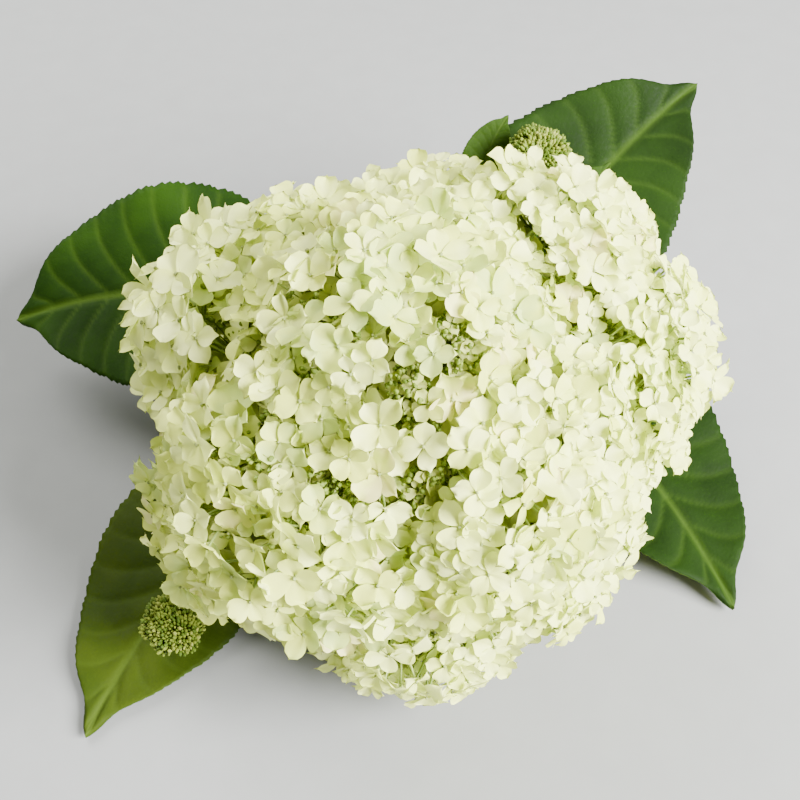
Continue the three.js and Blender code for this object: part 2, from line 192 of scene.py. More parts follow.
# The bloom's dome, as the solids have it
bloom = {
    "hub": vec(-1, -8, 80),
    "hubRadius": 6.4,
    "tilt": math.radians(45),
    "radius": 104,
    "rise": 28,  # from the hub to the dome's own middle, along the bloom's axis
    "rim": math.radians(114),
    "crease": 0.165,  # share of its reach that the dome loses where a lobe ends
    "creaseEnd": 1.2,
    "lobeWidth": math.radians(30),
    "blend": 12,  # how sharply one lobe's swell gives way to the next one's
    "rayRadius": 2.2,
    "fork": 0.52,
    "branchRadius": 1.15,
    "coreDepth": 33,  # of the branches' ends under the dome
    "coreHeight": 14.7,
    "coreShare": 0.62,
    "cores": 5,
    "twigRadii": (1.1, 0.85),
    "stalkRadii": (0.55, 0.45),
    "budStalkRadii": (0.34, 0.28),
}
hub = bloom["hub"]
# The last column is painted shade and light: lobes that lie in shade get less white florets, lobes where
# the light falls (values below 0) get whiter ones.
lobes = [  # name, clock, lean, swell, size of its florets and how much less white they are
    ("crown_top", 95, 28, 0.96, 0.86, 0.18),
    ("crown_left", 215, 28, 0.98, 0.92, 0.18),
    ("crown_right", 335, 28, 0.96, 0.82, 0.08),
    ("right", 12, 80, 1.15, 0.74, -0.36),
    ("upper_right", 49, 80, 1.13, 0.76, -0.16),
    ("top", 104, 80, 0.92, 0.84, -0.02),
    ("upper_left", 147, 80, 1.04, 1.0, -0.36),
    ("lower_left", 212, 80, 1.02, 0.92, 0.34),
    ("bottom", 276, 80, 1.04, 0.76, -0.4),
    ("lower_right", 318, 80, 1.03, 0.76, -0.02),
]
# Where the dome's side is fuller or slacker: lean, clock, width in degrees, share of its reach
dents = [
    (80, 29, 12, 0.09),
    (80, 66, 9, -0.12),
    (80, 79, 9, 0.13),
    (80, 102, 12, -0.12),
    (80, 190, 10, -0.12),
    (80, 245, 11, -0.1),
]
# Gaps between the small clusters: lean from the bloom's axis, clock and radius
gaps = [
    (50, 144, 3.4),
    (22, 62, 6.4),
    (8, 57, 4.8),
    (8, 348, 4.8),
    (8, 308, 4.0),
    (28, 116, 3.8),
    (22, 111, 3.2),
    (33, 150, 3.4),
    (28, 137, 2.4),
    (22, 188, 3.8),
    (19, 136, 4.0),
    (12, 78, 3.7),
    (34, 185, 2.4),
    (9, 217, 2.6),
    (25, 24, 2.4),
    (22, 213, 2.4),
    (12, 196, 2.2),
    (54, 206, 2.2),
    (50, 27, 2.0),
    (22, 165, 2.2),
    (40, 58, 2.0),
    (88, 231, 1.8),
    (29, 13, 1.8),
    (84, 317, 1.6),
]
bloomAxis = vec(0, -math.cos(bloom["tilt"]), math.sin(bloom["tilt"]))
bloomTop = vec(0, math.sin(bloom["tilt"]), math.cos(bloom["tilt"]))


def direction(lean, clock):
    lean, clock = math.radians(lean), math.radians(clock)
    around = math.cos(clock) * vec(1, 0, 0) + math.sin(clock) * bloomTop
    return math.cos(lean) * bloomAxis + math.sin(lean) * around


lobeNames, lobeClocks, lobeLeans, lobeSwells, lobeSizes, lobePaintedShading = zip(*lobes)
lobeMiddles = np.array([direction(*way) for way in zip(lobeLeans, lobeClocks)])
lobeSwells = np.array(lobeSwells)
dentWays = np.array([direction(lean, clock) for lean, clock, _, _ in dents])
dentWidths = np.radians([width for _, _, width, _ in dents])
dentShares = np.array([share for _, _, _, share in dents])


def reach(toward, lobe):  # how far the dome is from the hub
    lean = np.arccos(np.clip(toward @ bloomAxis, -1, 1))
    across = bloom["rise"] * np.sin(lean)
    dome = bloom["rise"] * np.cos(lean) + np.sqrt(bloom["radius"] ** 2 - across**2)
    off = np.arccos(np.clip(toward @ lobeMiddles[lobe], -1, 1)) / bloom["lobeWidth"]
    near = np.exp(bloom["blend"] * (toward @ lobeMiddles.T - 1))
    swell = near @ lobeSwells / near.sum(-1)
    fromDent = np.arccos(np.clip(toward @ dentWays.T, -1, 1)) / dentWidths
    swell = swell * (1 + np.exp(-(fromDent**2)) @ dentShares)
    return dome * swell * (1 - bloom["crease"] * np.minimum(bloom["creaseEnd"], off) ** 2)


def domePoint(toward, lobe, depth, height):  # from the hub, no lower than a height
    distance = reach(toward, lobe) - depth
    lowest = height - hub[2]
    downward = np.minimum(toward[..., 2], -1e-6)
    nearer = np.where(toward[..., 2] < 0, np.minimum(distance, lowest / downward), distance)
    return toward * nearer[..., None]


def clearOfOthers(point, lobe):  # smallest distance to the planes round a lobe's space
    normals = unit(lobeMiddles[lobe] - np.delete(lobeMiddles, lobe, 0))
    return (point[..., None, :] * normals).sum(-1).min(-1)


# Directions in a lobe's own space, by the golden angle from its middle outwards
def spiral(lobe, numbers, count, share, turn=0.0):
    centre = lobeMiddles[lobe]
    one = unit(np.cross(centre, vec(1, 0, 0)))
    angle = (np.asarray(numbers) * goldenAngle + turn)[:, None]
    tangent = np.cos(angle) * one + np.sin(angle) * np.cross(centre, one)
    far = np.zeros(len(tangent))
    for degrees in range(1, 90):
        lean = math.radians(degrees)
        there = math.cos(lean) * centre + math.sin(lean) * tangent
        inside = (clearOfOthers(there, lobe) >= 0) & (there @ bloomAxis > math.cos(bloom["rim"]))
        far = np.where(inside & (far == degrees - 1), degrees, far)
    lean = np.radians(far * share * np.sqrt((np.asarray(numbers) + 0.5) / count))[:, None]
    return np.cos(lean) * centre + np.sin(lean) * tangent


# Where the florets, their stalks and the buds go
floretLook = {
    "radius": 9.8,  # a sepal's length, in a lobe whose florets are of size 1
    "sizes": (0.8, 1.12),  # shares of that, by chance
    "spacing": 8.6,
    "lifts": (-2, 2.8),
    "lean": 0.26,  # by chance, beside the way that a floret faces
    "toAxis": 0.5,  # how far the outer florets turn to the bloom's axis
    "toAxisFrom": 0.6,  # cosine of the angle to the axis beyond which they do
    "lowest": 2.5,
    "gapClearance": 0.42,  # share of a floret's length that stays out of a gap
}
lowerLook = {  # the florets that fill in between those
    "size": 0.86,
    "spacing": 11.5,
    "depths": (7, 13),
    "lean": 1.5,  # times the other florets' lean
    "gapClearance": 0.75,  # share of a gap that they keep out of
}
deepLook = {  # young florets far down among the branches, in each lobe
    "number": 40,
    "sizes": (1.0, 1.2),
    "depths": (17, 44),
    "lean": 0.3,
}
knotLook = {  # the knots that small clusters of florets and buds spring from
    "spacing": 27,
    "depth": 20,
    "lifts": (-1.5, 2.5),
    "crown": 50,  # a cluster falls by the square of the way out over this
    "splay": 0.022,  # how far its florets turn outwards, to a millimetre
    "edge": 13.5,  # beyond it a few of the florets are left out
    "leftOut": 0.05,
    "buds": 22,
    "budSpread": 15,
    "budDepths": (7, 13),
    "budCrown": 90,
    "budSizes": (0.65, 1.15),
}
gapLook = {
    "depth": 9,  # of the tuft in it under the dome, and of the tuft's heart under that
    "rim": 4,  # how far the tuft goes beyond the gap's radius
    "buds": 1.0,  # to a square millimetre, about
    "budLifts": (-2, 4),
    "budCrown": 24,
    "budSizes": (0.6, 1.15),
    "young": 1.2,  # small young florets among the buds, to a millimetre of radius
    "youngSizes": (0.34, 0.5),
    "deep": 3.4,  # young florets far down under it, to a millimetre of radius
    "deepSize": 1.15,
    "deepDepths": (10, 36),
}
shown, lower, deepest = 0, 1, 2  # the layers of florets
fullTurn = 6.3


def scatter(trials, spacing):  # directions over the dome that keep their distance
    most = trials * len(lobes)
    ways, spots, owners = np.zeros((most, 3)), np.zeros((most, 3)), np.zeros(most, int)
    count = 0
    for lobe, size in enumerate(lobeSizes):
        tried = spiral(lobe, np.arange(trials), trials, share=1)
        points = domePoint(tried, lobe, depth=0, height=2)
        for i in rng.permutation(trials):
            far = np.linalg.norm(spots[:count] - points[i], axis=1)
            if count == 0 or far.min() > spacing * size:
                ways[count], spots[count], owners[count] = tried[i], points[i], lobe
                count += 1
    return ways[:count], spots[:count], owners[:count]


def nearest(points, spot):
    return np.linalg.norm(points - spot, axis=1).argmin()


def offsetBy(farthest, one, two, low=0, high=1):  # somewhere in a circle, and how far out
    angle, far = rng.uniform(0, fullTurn), farthest * math.sqrt(rng.uniform(low, high))
    return far * (math.cos(angle) * one + math.sin(angle) * two), far


def swayed(way, amount):
    return unit(way + rng.normal(0, amount, 3))


gapWays = np.array([direction(lean, clock) for lean, clock, _ in gaps])
gapRadii = np.array([radius for _, _, radius in gaps])
knotWays, knotSpots, knotLobes = scatter(150, knotLook["spacing"])
knotLift = rng.uniform(*knotLook["lifts"], len(knotWays))
knots = [domePoint(w, l, knotLook["depth"], height=9) for w, l in zip(knotWays, knotLobes)]
knots = np.array(knots)
florets = []  # centre, facing, sepal length, layer, lobe, knot, foot of the stalk
buds = []  # place, facing, size, foot of the stalk
branches = []  # start, end and the radius at each
twigs = []  # start and end


def addFloret(way, spot, lobe, layer):
    size = lobeSizes[lobe]
    radius = floretLook["radius"] * size * rng.uniform(*floretLook["sizes"])
    chance, lift = rng.uniform(0, 1), rng.uniform(*floretLook["lifts"])
    lean = rng.normal(0, floretLook["lean"], 3)
    own = np.flatnonzero(knotLobes == lobe)
    knot = own[nearest(knotSpots[own], spot)]
    offset = spot - knotSpots[knot]
    offset = offset - (offset @ way) * way
    out = np.linalg.norm(offset)
    fromGap = np.linalg.norm(gapWays - way, axis=1) * np.linalg.norm(spot)
    if layer == shown:
        inGap = (fromGap < gapRadii + radius * floretLook["gapClearance"]).any()
        if inGap or (out > knotLook["edge"] * size and chance < knotLook["leftOut"]):
            return
        depth = out**2 / knotLook["crown"] - knotLift[knot] + lift
        facing = unit(way + offset * knotLook["splay"] / size + lean)
    else:
        if (fromGap < gapRadii * lowerLook["gapClearance"]).any():
            return
        radius = radius * lowerLook["size"]
        depth = rng.uniform(*lowerLook["depths"])
        facing = unit(way + lowerLook["lean"] * lean)
    if way @ bloomAxis < floretLook["toAxisFrom"]:
        facing = unit(facing + bloomAxis * floretLook["toAxis"])
    centre = domePoint(way, lobe, depth, floretLook["lowest"])
    florets.append((centre, facing, radius, layer, lobe, knot, knots[knot]))


for layer, trials, look in ((shown, 1000, floretLook), (lower, 500, lowerLook)):
    for way, spot, lobe in zip(*scatter(trials, look["spacing"])):
        addFloret(way, spot, lobe, layer)

# A ray to each lobe forks into branches, and twigs go on from their ends to the knots.
forks = []
for lobe, ray in enumerate(lobeMiddles):
    forks.append(ray * reach(ray, lobe) * bloom["fork"])
    rayStart = ray * (bloom["hubRadius"] - 2)
    branches.append((rayStart, forks[lobe], bloom["rayRadius"], bloom["rayRadius"] * 0.8))
    coreWays = spiral(lobe, np.arange(bloom["cores"]), bloom["cores"], bloom["coreShare"])
    cores = domePoint(coreWays, lobe, bloom["coreDepth"], bloom["coreHeight"])
    for core in cores:
        branches.append((forks[lobe], core, bloom["branchRadius"] * 1.25, bloom["branchRadius"]))
    for knot in np.flatnonzero(knotLobes == lobe):
        twigs.append((cores[nearest(cores, knots[knot])], knots[knot]))
        one, two = squareTo(knotWays[knot])
        for _ in range(knotLook["buds"]):
            offset, far = offsetBy(knotLook["budSpread"], one, two)
            way = unit(knotSpots[knot] + offset)
            depth = rng.uniform(*knotLook["budDepths"]) + far**2 / knotLook["budCrown"]
            spot = domePoint(way, lobe, depth, height=3)
            buds.append((spot, way, rng.uniform(*knotLook["budSizes"]), knots[knot]))
    deepNumbers = np.arange(deepLook["number"]) + 0.5
    for way in spiral(lobe, deepNumbers, deepLook["number"], share=1, turn=1.0):
        centre = domePoint(way, lobe, rng.uniform(*deepLook["depths"]), height=3)
        facing = swayed(way, deepLook["lean"])
        radius = floretLook["radius"] * rng.uniform(*deepLook["sizes"])
        foot = cores[nearest(cores, centre)]
        florets.append((centre, facing, radius, deepest, lobe, 0, foot))

# A tuft of buds on short stalks of its own fills each gap, with young florets in and under it.
for way, gapRadius in zip(gapWays, gapRadii):
    lobe = (lobeMiddles @ way).argmax()
    one, two = squareTo(way)
    spot = domePoint(way, lobe, gapLook["depth"], height=3)
    heart = spot - way * gapLook["depth"]
    twigs.append((knots[nearest(knots, heart)], heart))
    inward = -unit(way + bloomAxis)
    for _ in range(int(gapLook["deep"] * gapRadius)):
        centre = spot + inward * rng.uniform(*gapLook["deepDepths"])
        centre = centre + rng.normal(0, 2.5 + gapRadius * 0.5, 3)
        facing = swayed(way, deepLook["lean"])
        radius = floretLook["radius"] * gapLook["deepSize"]
        florets.append((centre, facing, radius, deepest, lobe, 0, forks[lobe]))
    for _ in range(int(gapLook["young"] * gapRadius)):
        offset, _ = offsetBy(gapRadius, one, two, 0.1, 1.3)
        centre = spot + offset - way * rng.uniform(0, 6)
        facing = swayed(way + bloomAxis * 0.5, deepLook["lean"])
        radius = floretLook["radius"] * rng.uniform(*gapLook["youngSizes"])
        florets.append((centre, facing, radius, deepest, lobe, 0, heart))
    rim = gapRadius + gapLook["rim"]
    for _ in range(int(gapLook["buds"] * rim**2)):
        offset, far = offsetBy(rim, one, two)
        drop = far**2 / gapLook["budCrown"] + rng.uniform(*gapLook["budLifts"])
        facing = swayed(way, 0.3)
        buds.append((spot + offset - way * drop, facing, rng.uniform(*gapLook["budSizes"]), heart))
print("placed", len(florets), "florets,", len(knots), "knots and", len(buds), "buds")


# Sepals
sepalLook = {
    "width": 0.44,  # half a sepal's width beside its length
    "lengths": (0.84, 1.1),
    "widths": (0.84, 1.2),
    "point": 0.2,  # how far its tip draws out
    "cups": (-0.04, 0.46),
    "curls": (-0.34, 0.08),
    "wave": 0.07,
    "through": 0.3,  # share of the light that goes through
}
sepalColours = {
    "white": colour(0.92, 0.97, 0.37),
    "ivory": colour(0.835, 0.9, 0.225),
    "straw": colour(0.735, 0.8, 0.155),
    "pale_green": colour(0.62, 0.73, 0.2),
    "blush": colour(0.92, 0.85, 0.36),
    # young and olive are partly the green of young florets and partly painted shade, for florets that
    # lie deep in shade among the others.
    "young": colour(0.6, 0.64, 0.19),
    "olive": colour(0.42, 0.46, 0.09),
}


def sepalMaterial(name, base, shade):
    shader = Shader(name)
    broad = shader.noise(90, 2)
    fine = shader.noise(900, 3)
    mixed = shader.mix(shader.spread(broad, 0.35, 0.7), base, shade)
    height = fine * 0.6 + shader.noise(2400, 2) * 0.4
    surface = {
        "Base Color": mixed,
        "Roughness": shader.spread(fine, 0.2, 0.8) * 0.15 + 0.45,
        "Specular IOR Level": 0.3,
        "Normal": shader.bump(height, 0.00015, 0.5),
    }
    through = shader.mix(0.4, mixed, colour(0.7, 0.82, 0.25))
    return shader.finish(surface, through, sepalLook["through"])


def sepalPoints(centre, facing, radius, rows, columns):
    count = len(centre)
    u = np.linspace(0, 1, rows + 1)[None, :, None]
    v = np.linspace(-1, 1, columns)[None, None, :]
    one, two = squareTo(facing)
    outline = (u + 0.02) ** 0.8 * np.maximum(1 - u, 0) ** 0.55 / 0.405
    points = []

    def draw(low, high):
        return rng.uniform(low, high, (count, 1, 1))

    spin = rng.uniform(0, math.pi / 2, count)
    cup = draw(*sepalLook["cups"])
    curl = draw(*sepalLook["curls"])
    for i in range(4):
        length = radius[:, None, None] * draw(*sepalLook["lengths"])
        half = length * sepalLook["width"] * draw(*sepalLook["widths"]) * outline
        drawnOut = sepalLook["point"] * draw(0, 1.7) * (1 - np.abs(v)) ** 1.6 * u**4
        along = length * 0.95 * (u + u * drawnOut + 0.03 * u * (1 - v**2)) + 0.5
        wave = draw(-1, 1) * np.sin(3.1 * u + draw(0, 6))
        lift = (i % 2) * 0.6 + (cup + draw(-0.2, 0.24)) * length * u**1.3
        rolled = draw(-0.02, 0.34) * outline * v**2 * u
        lift = lift + length * (rolled + (curl + draw(-0.08, 0.08)) * u**3)
        lift = lift - draw(0.03, 0.1) * length * np.exp(-((v / 0.25) ** 2)) * (1 - 0.5 * u)
        lift = lift + sepalLook["wave"] * length * wave * v * np.abs(v) + draw(-0.3, 0.3) * v * half
        turn = spin + i * math.pi / 2 + rng.uniform(-0.17, 0.17, count)
        out = np.cos(turn)[:, None] * one + np.sin(turn)[:, None] * two
        aside = np.cross(facing, out)
        place = centre[:, None, None] + along[..., None] * out[:, None, None]
        place = place + (half * v)[..., None] * aside[:, None, None]
        points.append(place + lift[..., None] * facing[:, None, None])
    return np.stack(points, 1).reshape(count, -1, 3)


centres, facings, radii, layers, lobeOf, knotOf, feet = map(np.array, zip(*florets))
centres = centres + hub
tints = [  # a tint, the one that its broad patches tend to, and the rows and columns of a sepal
    ("white", "ivory", 7, 7),
    ("ivory", "white", 7, 7),
    ("straw", "ivory", 7, 7),
    ("pale_green", "straw", 7, 7),
    ("blush", "straw", 7, 7),
    ("young", "pale_green", 5, 5),
    ("olive", "young", 4, 5),
]
tintLook = {
    "clusterShare": 0.4,  # of a floret's tone comes from its cluster, the rest is its own
    "steps": [0.4, 0.66, 0.84],  # tones where the first four tints change
    "blush": 0.08,
    "lowerSteps": [0.22, 0.74],
    "lowerTints": ["pale_green", "young", "olive"],
}
tintNumbers = {row[0]: number for number, row in enumerate(tints)}
chance = rng.uniform(0, 1, len(florets))
clusterTone, ownTone = rng.uniform(0, 1, len(knots))[knotOf], rng.uniform(0, 1, len(florets))
tone = tintLook["clusterShare"] * clusterTone + (1 - tintLook["clusterShare"]) * ownTone
# A lobe's painted shade makes its florets less white, and its painted light (below 0) makes them whiter.
tone = tone + np.array(lobePaintedShading)[lobeOf]
tint = np.digitize(tone, tintLook["steps"])
tint = np.where((tint > 0) & (chance < tintLook["blush"]), tintNumbers["blush"], tint)
# The lower and deepest florets take the greener, darker tints: partly young green, partly painted shade.
lowerTints = np.array([tintNumbers[name] for name in tintLook["lowerTints"]])
tint = np.where(layers == lower, lowerTints[np.digitize(tone, tintLook["lowerSteps"])], tint)
tint = np.where(layers == deepest, tintNumbers["olive"], tint)
everyLobe = ["bloom_" + name for name in lobeNames]
for number, (base, shade, rows, columns) in enumerate(tints):
    chosen = np.flatnonzero(tint == number)
    petals = sepalPoints(centres[chosen], facings[chosen], radii[chosen], rows, columns)
    lowest = np.minimum(0, petals[..., 2].min(1) - 0.1)  # a floret under the floor is lifted
    petals[..., 2] -= lowest[:, None]
    centres[chosen, 2] -= lowest
    material = sepalMaterial(base + "Sepal", sepalColours[base], sepalColours[shade])
    faces = copies(gridFaces(rows + 1, columns), 4 * len(chosen), (rows + 1) * columns)
    nodes = everyLobe if number == 0 else ()
    meshPiece("sepals_" + base, petals.reshape(-1, 3), faces.tolist(), [material], "sepal", nodes)
    print("sepals", base, len(chosen), "florets", 2 * len(faces), "triangles")


# Balls on the stalks: a button in each floret's middle, and small buds
def balls(centre, facing, radius, stretch, rings, sides):
    count = len(centre)
    one, two = squareTo(facing)
    lean = np.linspace(0.0, math.pi, rings + 1)[None, :, None]
    angle = (np.arange(sides) * 2 * math.pi / sides)[None, None, :]
    r = np.maximum(np.sin(lean), 0.02)
    x, y, z = r * np.cos(angle), r * np.sin(angle), np.cos(lean) * stretch + 0 * angle
    size = np.broadcast_to(radius, count)[:, None, None, None]
    shape = x[..., None] * one[:, None, None] + y[..., None] * two[:, None, None]
    shape = shape + z[..., None] * facing[:, None, None]
    points = (centre[:, None, None] + size * shape).reshape(-1, 3)
    return points, copies(gridFaces(rings + 1, sides, closed=True), count, (rings + 1) * sides)


def budMaterial(name, base, shade):
    shader = Shader(name)
    broad = shader.noise(260, 2)
    surface = {
        "Base Color": shader.mix(shader.spread(broad, 0.35, 0.68), base, shade),
        "Roughness": 0.65,
        "Specular IOR Level": 0.25,
        "Normal": shader.bump(shader.noise(1800, 2), 0.0002, 0.6),
    }
    return shader.finish(surface)


buttonMaterial = budMaterial("floretButton", colour(0.22, 0.27, 0.08), colour(0.36, 0.4, 0.14))
# The small buds' dark green is partly their own and partly painted shade, for the crevices among the
# florets where they sit.
smallBudMaterial = budMaterial("smallBud", colour(0.1, 0.15, 0.014), colour(0.2, 0.26, 0.035))
unfolded = layers < deepest
buttonSpots = (centres + facings * 0.7)[unfolded]
buttons = balls(buttonSpots, facings[unfolded], radii[unfolded] * 0.09, 0.8, 3, 6)
meshPiece("floret_buttons", buttons[0], buttons[1].tolist(), [buttonMaterial], "bud")
budSpots, budWays, budSizes, budFeet = map(np.array, zip(*buds))
budSpots = budSpots + hub
small = balls(budSpots, budWays, budSizes, 1.25, 3, 5)
meshPiece("fertile_buds", small[0], small[1].tolist(), [smallBudMaterial], "bud")
print("buttons and buds", len(buttons[1]) + len(small[1]), "faces")


# The rays, branches and stalks under the florets
def stalkMaterial(name, base, shade, relief):
    shader = Shader(name)
    broad = shader.noise(60, 3)
    fine = shader.noise(1200, 3)
    surface = {
        "Base Color": shader.mix(shader.spread(broad, 0.35, 0.68), base, shade),
        "Roughness": shader.spread(fine, 0.2, 0.8) * 0.2 + 0.45,
        "Normal": shader.bump(fine, relief, 0.6),
    }
    return shader.finish(surface)


def bowed(pairs, amount):  # start, bend and end of gently bent limbs
    start = np.array([p[0] for p in pairs])
    end = np.array([p[1] for p in pairs])
    length = np.linalg.norm(end - start, axis=1)[:, None]
    return start, (start + end) / 2 + rng.normal(0, 1, start.shape) * length * amount, end


greens = colour(0.23, 0.32, 0.07), colour(0.37, 0.44, 0.12)
branchMaterial = stalkMaterial("bloomBranch", *greens, 0.0002)
start, bend, end = bowed(branches, 0.02)
startRadii, endRadii = np.array([branch[2:] for branch in branches]).T
parts = [tubes(hub + start, hub + bend, hub + end, startRadii, endRadii, 9, 8)]
start, bend, end = bowed(twigs, 0.05)
parts.append(tubes(hub + start, hub + bend, hub + end, *bloom["twigRadii"], 6, 6))
start, end = feet + hub, centres - facings * 0.1
bend = (start + end) / 2 - facings * np.linalg.norm(end - start, axis=1)[:, None] * 0.18
parts.append(tubes(start, bend, end, *bloom["stalkRadii"], 4, 4))
meshPiece("bloom_branches", *joined(parts), [branchMaterial], "stem")
start = budFeet + hub
bend = (start + budSpots) / 2 - budWays * 1.5
parts = [tubes(start, bend, budSpots, *bloom["budStalkRadii"], 3, 2)]
meshPiece("bud_stalks", *joined(parts), [smallBudMaterial], "bud")
print("bloom branches made")


# The main stem, with the relief of its ribs, nodes and pores
stemLook = {
    "cutEnd": vec(-1, 142, 4.44),
    "cutSlope": math.radians(10),
    "neckRadius": 3.1,
    "cutRadius": 4.5,
    "pull": 62,
    "nodeSwell": 1.9,
    "nodeLength": 5,
    "upperNode": 8 / 24,
    "lowerNode": 18 / 24,
    "rings": 170,
    "sides": 36,
    "pores": 70,
    "poreShape": vec(0.18, 0.3, 0.18),
    "cutRings": ((0.86, 1), (0.5, 2)),  # how far in bark and green wood end, and what follows
}


def bezier(p0, p1, p2, p3):
    def curve(t):
        t = np.asarray(t)[..., None]
        return (1 - t) ** 3 * p0 + 3 * (1 - t) ** 2 * t * p1 + 3 * (1 - t) * t**2 * p2 + t**3 * p3

    return curve


def evenly(curve, places):  # points at shares of a curve's length, with its directions
    t = np.linspace(0, 1, 600)
    points = curve(t)
    length = np.concatenate([[0], np.cumsum(np.linalg.norm(np.diff(points, axis=0), axis=1))])
    found = np.interp(np.asarray(places) * length[-1], length, t)
    ahead, behind = np.minimum(found + 1e-3, 1), np.maximum(found - 1e-3, 0)
    return curve(found), unit(curve(ahead) - curve(behind)), length[-1]


cutRun = vec(0, math.cos(stemLook["cutSlope"]), -math.sin(stemLook["cutSlope"]))
stemCurve = bezier(
    hub,
    hub - bloomAxis * stemLook["pull"],
    stemLook["cutEnd"] - cutRun * stemLook["pull"],
    stemLook["cutEnd"],
)


def stemRadius(place):
    length = evenly(stemCurve, [0])[2]
    grown = 0
    for node in (stemLook["upperNode"], stemLook["lowerNode"]):
        grown = grown + np.exp(-(((place - node) * length / stemLook["nodeLength"]) ** 2))
    plain = stemLook["neckRadius"] + (stemLook["cutRadius"] - stemLook["neckRadius"]) * place
    return plain + grown * stemLook["nodeSwell"]


def sweep(centre, run, radius, sideways, sides):  # rings of points, with radius by ring and angle
    one = unit(sideways - (sideways * run).sum(-1, keepdims=True) * run)
    two = np.cross(run, one)
    angle = (np.arange(sides) * 2 * math.pi / sides)[None, :, None]
    ring = np.cos(angle) * one[:, None] + np.sin(angle) * two[:, None]
    return centre[:, None] + radius[..., None] * ring


def buildStem():
    rings, sides = stemLook["rings"], stemLook["sides"]
    place = np.linspace(0, 1, rings)
    centre, run, _ = evenly(stemCurve, place)
    angle = np.arange(sides) * 2 * math.pi / sides
    ribs = 0.12 * np.sin(6 * angle)[None] + 0.07 * np.sin(11 * angle + 1)[None]
    radius = stemRadius(place)[:, None] * (1 + 0.018 * np.sin(place * 41)[:, None]) + ribs
    radius = radius + 0.05 * rng.normal(0, 1, (rings, sides))
    for _ in range(stemLook["pores"]):  # small raised lens shapes
        r, s = rng.integers(6, rings - 6), rng.integers(0, sides)
        radius[r - 1 : r + 2, s] += stemLook["poreShape"]
    radius[-1] = radius[-1] * 0 + stemLook["cutRadius"]
    radius = np.minimum(radius, stemRadius(place)[:, None] + 0.35)
    points = sweep(centre, run, radius, vec(1, 0, 0), sides).reshape(-1, 3)
    points[:, 2] = np.maximum(points[:, 2], 0.0)
    faces = gridFaces(rings, sides, closed=True).tolist()
    slots = [0] * len(faces)
    last = (rings - 1) * sides
    outer = list(range(last, last + sides))
    end, run = centre[-1], run[-1]
    for share, slot in stemLook["cutRings"]:
        ring = [end + (points[i] - end) * share for i in range(last, last + sides)]
        inner = list(range(len(points), len(points) + sides))
        points = np.concatenate([points, ring])
        for k in range(sides):
            faces.append([outer[k], outer[(k + 1) % sides], inner[(k + 1) % sides], inner[k]])
            slots.append(slot)
        outer = inner
    faces.append(outer)
    slots.append(2)
    return points, faces, slots


barkMaterial = stalkMaterial("stemSkin", colour(0.17, 0.24, 0.045), colour(0.29, 0.3, 0.09), 0.0004)
woodMaterial = stalkMaterial("cutWood", colour(0.55, 0.62, 0.3), colour(0.62, 0.66, 0.38), 0.0002)
pithMaterial = stalkMaterial("cutPith", colour(0.8, 0.8, 0.64), colour(0.72, 0.72, 0.5), 0.0004)
points, faces, slots = buildStem()
materials = [barkMaterial, woodMaterial, pithMaterial]
meshPiece("stem_skin", points, faces, materials, "stem", ["main_stem"], slots)
hubBall = balls(hub[None], bloomAxis[None], vec(bloom["hubRadius"]), 0.9, 14, 22)
meshPiece("stem_tip", hubBall[0], hubBall[1].tolist(), [barkMaterial], "stem")
print("stem made")


# Leaves
leafLook = {
    "rows": 126,
    "columns": 33,
    "thickness": 0.6,
    "veins": 8,
    "teeth": 42,
    "quilt": 1.1,  # how far the blade rises between its veins
    "tipAt": 0.93,  # where the blade draws in to its long tip
    "petioleRadius": 1.9,
    "petioleShare": 0.3,
    "through": 0.25,  # share of the light that goes through
    "under": colour(0.07, 0.13, 0.02),
    "underVein": colour(0.1, 0.18, 0.02),
}
# The dark and shaded blades are darker than the leaves' own green. This is painted shade, as those
# leaves lie in shade under the bloom, and the shaded ones on the right are darker still. The blade at
# the lower left is lighter: painted light, where light falls on it.
blades = {  # two shades of a blade and the colour of its veins
    "dark": (colour(0.01, 0.034, 0.001), colour(0.022, 0.062, 0.002), colour(0.08, 0.15, 0.015)),
    "shaded": (colour(0.006, 0.019, 0.0008), colour(0.012, 0.034, 0.0015), colour(0.04, 0.08, 0.008)),
    "fresh": (colour(0.026, 0.048, 0.0015), colour(0.046, 0.072, 0.003), colour(0.065, 0.105, 0.01)),
    "young": (colour(0.015, 0.04, 0.0015), colour(0.026, 0.06, 0.002), colour(0.045, 0.085, 0.008)),
}


def stemSocket(place, clock, lean, radius):
    centre, run, _ = evenly(stemCurve, [place])
    centre, run = centre[0], run[0]
    up = -np.cross(vec(1, 0, 0), run)
    clock, lean = math.radians(clock), math.radians(lean)
    square = math.cos(clock) * vec(1, 0, 0) + math.sin(clock) * up
    off = math.cos(lean) * square - math.sin(lean) * run
    return centre + square * (stemRadius(place) - 0.4 + radius * math.sin(lean)), off


def leafMaterial(name, dark, light, vein):
    shader = Shader(name)
    veins = shader.node("ShaderNodeAttribute", {"attribute_name": "vein"}, out=2)
    broad = shader.noise(28, 3)
    fine = shader.noise(700, 3)
    blade = shader.mix(shader.spread(broad, 0.3, 0.7), dark, light)
    speckled = shader.mix(shader.spread(fine, 0.45, 0.8) * 0.35, blade, light)
    tinted = shader.mix(veins * 0.85, speckled, vein)
    surface = {
        "Base Color": tinted,
        "Roughness": shader.spread(fine, 0.2, 0.8) * 0.18 + 0.58,
        "Specular IOR Level": 0.1,
        "Normal": shader.bump(fine, 0.0004, 0.5),
    }
    return shader.finish(surface, tinted, leafLook["through"])


